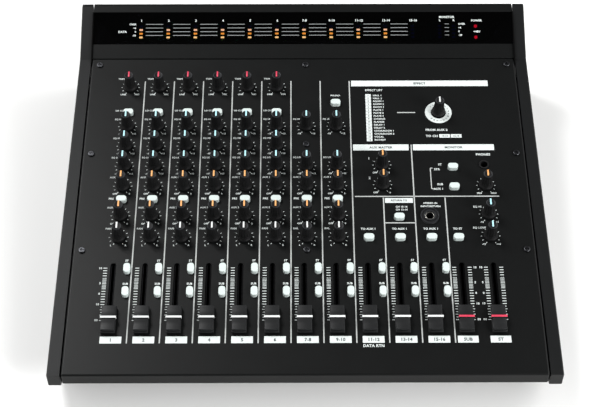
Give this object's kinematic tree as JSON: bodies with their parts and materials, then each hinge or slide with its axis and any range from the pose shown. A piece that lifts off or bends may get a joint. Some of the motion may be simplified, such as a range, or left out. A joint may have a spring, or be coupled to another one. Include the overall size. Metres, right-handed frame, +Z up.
{
  "type": "mixing console",
  "caption": "Compact tabletop audio mixing console: sloping control panel with knobs, push buttons and faders, a raised meter bridge, side cheeks and rear sockets.",
  "frame": {"origin": "on the table, under the centre of the case's footprint", "axes": "+X to the user's right, +Y to the rear, +Z up; the user sits on the -Y side"},
  "size_m": [0.41, 0.37, 0.105],
  "materials": {
    "panel_paint": "fine-texture charcoal powder coat",
    "case_paint": "fine-texture black powder coat",
    "cheek_plastic": "fine-grained moulded charcoal",
    "window_acrylic": "smoked, polished",
    "black_screws": "black oxide",
    "zinc_screws": "zinc plated",
    "foot_rubber": "moulded",
    "plated_brass": "nickel plated",
    "socket_plastic": "moulded black",
    "plated_sleeves": "nickel plated",
    "plated_shell": "nickel-plated pressing",
    "circuit_board": "glass-epoxy laminate, green mask",
    "ribbon_sleeve": "extruded grey",
    "pot_steel": "pressed, plated",
    "switch_plastic": "moulded",
    "track_steel": "pressed, dark plated",
    "lamp_resin": "cast, tinted",
    "knob_plastic": "moulded, fluted, with a coloured pointer",
    "button_plastic": "moulded white",
    "cap_plastic": "moulded, with a printed pointer",
    "rocker_plastic": "moulded black"
  },
  "bodies": {
    "console": {"board_posts": "plated_brass", "board_ribbon": "ribbon_sleeve", "bottom_pan": "case_paint", "case_screws": "zinc_screws", "channel_knobs": "knob_plastic", "control_board": "circuit_board", "fader_screws": "black_screws", "fader_tracks": "track_steel", "jack_board": "circuit_board", "left_cheek": "cheek_plastic", "line_jacks": "socket_plastic", "meter_board": "circuit_board", "meter_bridge": "panel_paint", "meter_lamps": "lamp_resin", "meter_window": "window_acrylic", "mic_sockets": "socket_plastic", "panel_jacks": "socket_plastic", "panel_screws": "black_screws", "phono_sockets": "plated_sleeves", "pot_bodies": "pot_steel", "power_inlet": "socket_plastic", "power_switch_case": "socket_plastic", "rear_panel": "case_paint", "right_cheek": "cheek_plastic", "rubber_feet": "foot_rubber", "switch_bodies": "switch_plastic", "top_panel": "panel_paint", "usb_socket": "plated_shell"},
    "effect_knob": {"effect_knob": "knob_plastic"},
    "aux_1_master_knob": {"aux_1_master_knob": "knob_plastic"},
    "aux_2_master_knob": {"aux_2_master_knob": "knob_plastic"},
    "phones_knob": {"phones_knob": "knob_plastic"},
    "main_high_knob": {"main_high_knob": "knob_plastic"},
    "main_low_knob": {"main_low_knob": "knob_plastic"},
    "trim_knob_1": {"trim_knob_1": "knob_plastic"},
    "high_knob_1": {"high_knob_1": "knob_plastic"},
    "mid_knob_1": {"mid_knob_1": "knob_plastic"},
    "low_knob_1": {"low_knob_1": "knob_plastic"},
    "aux_1_knob_1": {"aux_1_knob_1": "knob_plastic"},
    "aux_2_knob_1": {"aux_2_knob_1": "knob_plastic"},
    "pan_knob_1": {"pan_knob_1": "knob_plastic"},
    "fader_1": {"fader_1": "cap_plastic"},
    "fader_2": {"fader_2": "cap_plastic"},
    "fader_3": {"fader_3": "cap_plastic"},
    "fader_4": {"fader_4": "cap_plastic"},
    "fader_5": {"fader_5": "cap_plastic"},
    "fader_6": {"fader_6": "cap_plastic"},
    "fader_7_8": {"fader_7_8": "cap_plastic"},
    "fader_9_10": {"fader_9_10": "cap_plastic"},
    "fader_11_12": {"fader_11_12": "cap_plastic"},
    "fader_13_14": {"fader_13_14": "cap_plastic"},
    "fader_15_16": {"fader_15_16": "cap_plastic"},
    "fader_sub": {"fader_sub": "cap_plastic"},
    "fader_main": {"fader_main": "cap_plastic"},
    "low_cut_buttons": {"low_cut_buttons": "button_plastic"},
    "pre_fade_buttons": {"pre_fade_buttons": "button_plastic"},
    "main_assign_buttons": {"main_assign_buttons": "button_plastic"},
    "sub_assign_buttons": {"sub_assign_buttons": "button_plastic"},
    "master_buttons": {"master_buttons": "button_plastic"},
    "power_rocker": {"power_rocker": "rocker_plastic"}
  },
  "joints": [
    {"name": "effect_turn", "type": "hinge", "parent": "console", "child": "effect_knob", "pos_m": [0.1203, 0.07278, 0.07431], "axis": [0, -0.1305, 0.9914], "continuous": true},
    {"name": "aux_1_master_turn", "type": "hinge", "parent": "console", "child": "aux_1_master_knob", "pos_m": [0.0677, 0.01597, 0.06683], "axis": [0, -0.1305, 0.9914], "range_deg": [-150, 150]},
    {"name": "aux_2_master_turn", "type": "hinge", "parent": "console", "child": "aux_2_master_knob", "pos_m": [0.0677, -0.00466, 0.06412], "axis": [0, -0.1305, 0.9914], "range_deg": [-150, 150]},
    {"name": "phones_turn", "type": "hinge", "parent": "console", "child": "phones_knob", "pos_m": [0.1567, -0.00555, 0.064], "axis": [0, -0.1305, 0.9914], "range_deg": [-150, 150]},
    {"name": "main_high_turn", "type": "hinge", "parent": "console", "child": "main_high_knob", "pos_m": [0.1567, -0.0348, 0.06015], "axis": [0, -0.1305, 0.9914], "range_deg": [-150, 150]},
    {"name": "main_low_turn", "type": "hinge", "parent": "console", "child": "main_low_knob", "pos_m": [0.1567, -0.05671, 0.05726], "axis": [0, -0.1305, 0.9914], "range_deg": [-150, 150]},
    {"name": "trim_1_turn", "type": "hinge", "parent": "console", "child": "trim_knob_1", "pos_m": [-0.1562, 0.10153, 0.07809], "axis": [0, -0.1305, 0.9914], "range_deg": [-150, 150]},
    {"name": "high_1_turn", "type": "hinge", "parent": "console", "child": "high_knob_1", "pos_m": [-0.1562, 0.0579, 0.07235], "axis": [0, -0.1305, 0.9914], "range_deg": [-150, 150]},
    {"name": "mid_1_turn", "type": "hinge", "parent": "console", "child": "mid_knob_1", "pos_m": [-0.1562, 0.03659, 0.06954], "axis": [0, -0.1305, 0.9914], "range_deg": [-150, 150]},
    {"name": "low_1_turn", "type": "hinge", "parent": "console", "child": "low_knob_1", "pos_m": [-0.1562, 0.01527, 0.06674], "axis": [0, -0.1305, 0.9914], "range_deg": [-150, 150]},
    {"name": "aux_1_1_turn", "type": "hinge", "parent": "console", "child": "aux_1_knob_1", "pos_m": [-0.1562, -0.00555, 0.064], "axis": [0, -0.1305, 0.9914], "range_deg": [-150, 150]},
    {"name": "aux_2_1_turn", "type": "hinge", "parent": "console", "child": "aux_2_knob_1", "pos_m": [-0.1562, -0.03579, 0.06002], "axis": [0, -0.1305, 0.9914], "range_deg": [-150, 150]},
    {"name": "pan_1_turn", "type": "hinge", "parent": "console", "child": "pan_knob_1", "pos_m": [-0.1562, -0.0571, 0.05721], "axis": [0, -0.1305, 0.9914], "range_deg": [-150, 150]},
    {"name": "fader_1_slide", "type": "slide", "parent": "console", "child": "fader_1", "axis": [0, 0.9914, 0.1305], "range_m": [0, 0.05]},
    {"name": "fader_2_slide", "type": "slide", "parent": "console", "child": "fader_2", "axis": [0, 0.9914, 0.1305], "range_m": [0, 0.05]},
    {"name": "fader_3_slide", "type": "slide", "parent": "console", "child": "fader_3", "axis": [0, 0.9914, 0.1305], "range_m": [0, 0.05]},
    {"name": "fader_4_slide", "type": "slide", "parent": "console", "child": "fader_4", "axis": [0, 0.9914, 0.1305], "range_m": [0, 0.05]},
    {"name": "fader_5_slide", "type": "slide", "parent": "console", "child": "fader_5", "axis": [0, 0.9914, 0.1305], "range_m": [0, 0.05]},
    {"name": "fader_6_slide", "type": "slide", "parent": "console", "child": "fader_6", "axis": [0, 0.9914, 0.1305], "range_m": [0, 0.05]},
    {"name": "fader_7_8_slide", "type": "slide", "parent": "console", "child": "fader_7_8", "axis": [0, 0.9914, 0.1305], "range_m": [0, 0.05]},
    {"name": "fader_9_10_slide", "type": "slide", "parent": "console", "child": "fader_9_10", "axis": [0, 0.9914, 0.1305], "range_m": [0, 0.05]},
    {"name": "fader_11_12_slide", "type": "slide", "parent": "console", "child": "fader_11_12", "axis": [0, 0.9914, 0.1305], "range_m": [0, 0.05]},
    {"name": "fader_13_14_slide", "type": "slide", "parent": "console", "child": "fader_13_14", "axis": [0, 0.9914, 0.1305], "range_m": [0, 0.05]},
    {"name": "fader_15_16_slide", "type": "slide", "parent": "console", "child": "fader_15_16", "axis": [0, 0.9914, 0.1305], "range_m": [0, 0.05]},
    {"name": "fader_sub_slide", "type": "slide", "parent": "console", "child": "fader_sub", "axis": [0, 0.9914, 0.1305], "range_m": [0, 0.05]},
    {"name": "fader_main_slide", "type": "slide", "parent": "console", "child": "fader_main", "axis": [0, 0.9914, 0.1305], "range_m": [0, 0.05]},
    {"name": "low_cut_press", "type": "slide", "parent": "console", "child": "low_cut_buttons", "axis": [0, -0.1305, 0.9914], "range_m": [-0.002, 0], "stiffness_N_per_m": 400, "springref_m": 0.002},
    {"name": "pre_fade_press", "type": "slide", "parent": "console", "child": "pre_fade_buttons", "axis": [0, -0.1305, 0.9914], "range_m": [-0.002, 0], "stiffness_N_per_m": 400, "springref_m": 0.002},
    {"name": "main_assign_press", "type": "slide", "parent": "console", "child": "main_assign_buttons", "axis": [0, -0.1305, 0.9914], "range_m": [-0.002, 0], "stiffness_N_per_m": 400, "springref_m": 0.002},
    {"name": "sub_assign_press", "type": "slide", "parent": "console", "child": "sub_assign_buttons", "axis": [0, -0.1305, 0.9914], "range_m": [-0.002, 0], "stiffness_N_per_m": 400, "springref_m": 0.002},
    {"name": "master_press", "type": "slide", "parent": "console", "child": "master_buttons", "axis": [0, -0.1305, 0.9914], "range_m": [-0.002, 0], "stiffness_N_per_m": 400, "springref_m": 0.002},
    {"name": "power_rock", "type": "hinge", "parent": "console", "child": "power_rocker", "pos_m": [0.1567, 0.1735, 0.024], "axis": [1, 0, 0], "range_deg": [0, 18]}
  ]
}
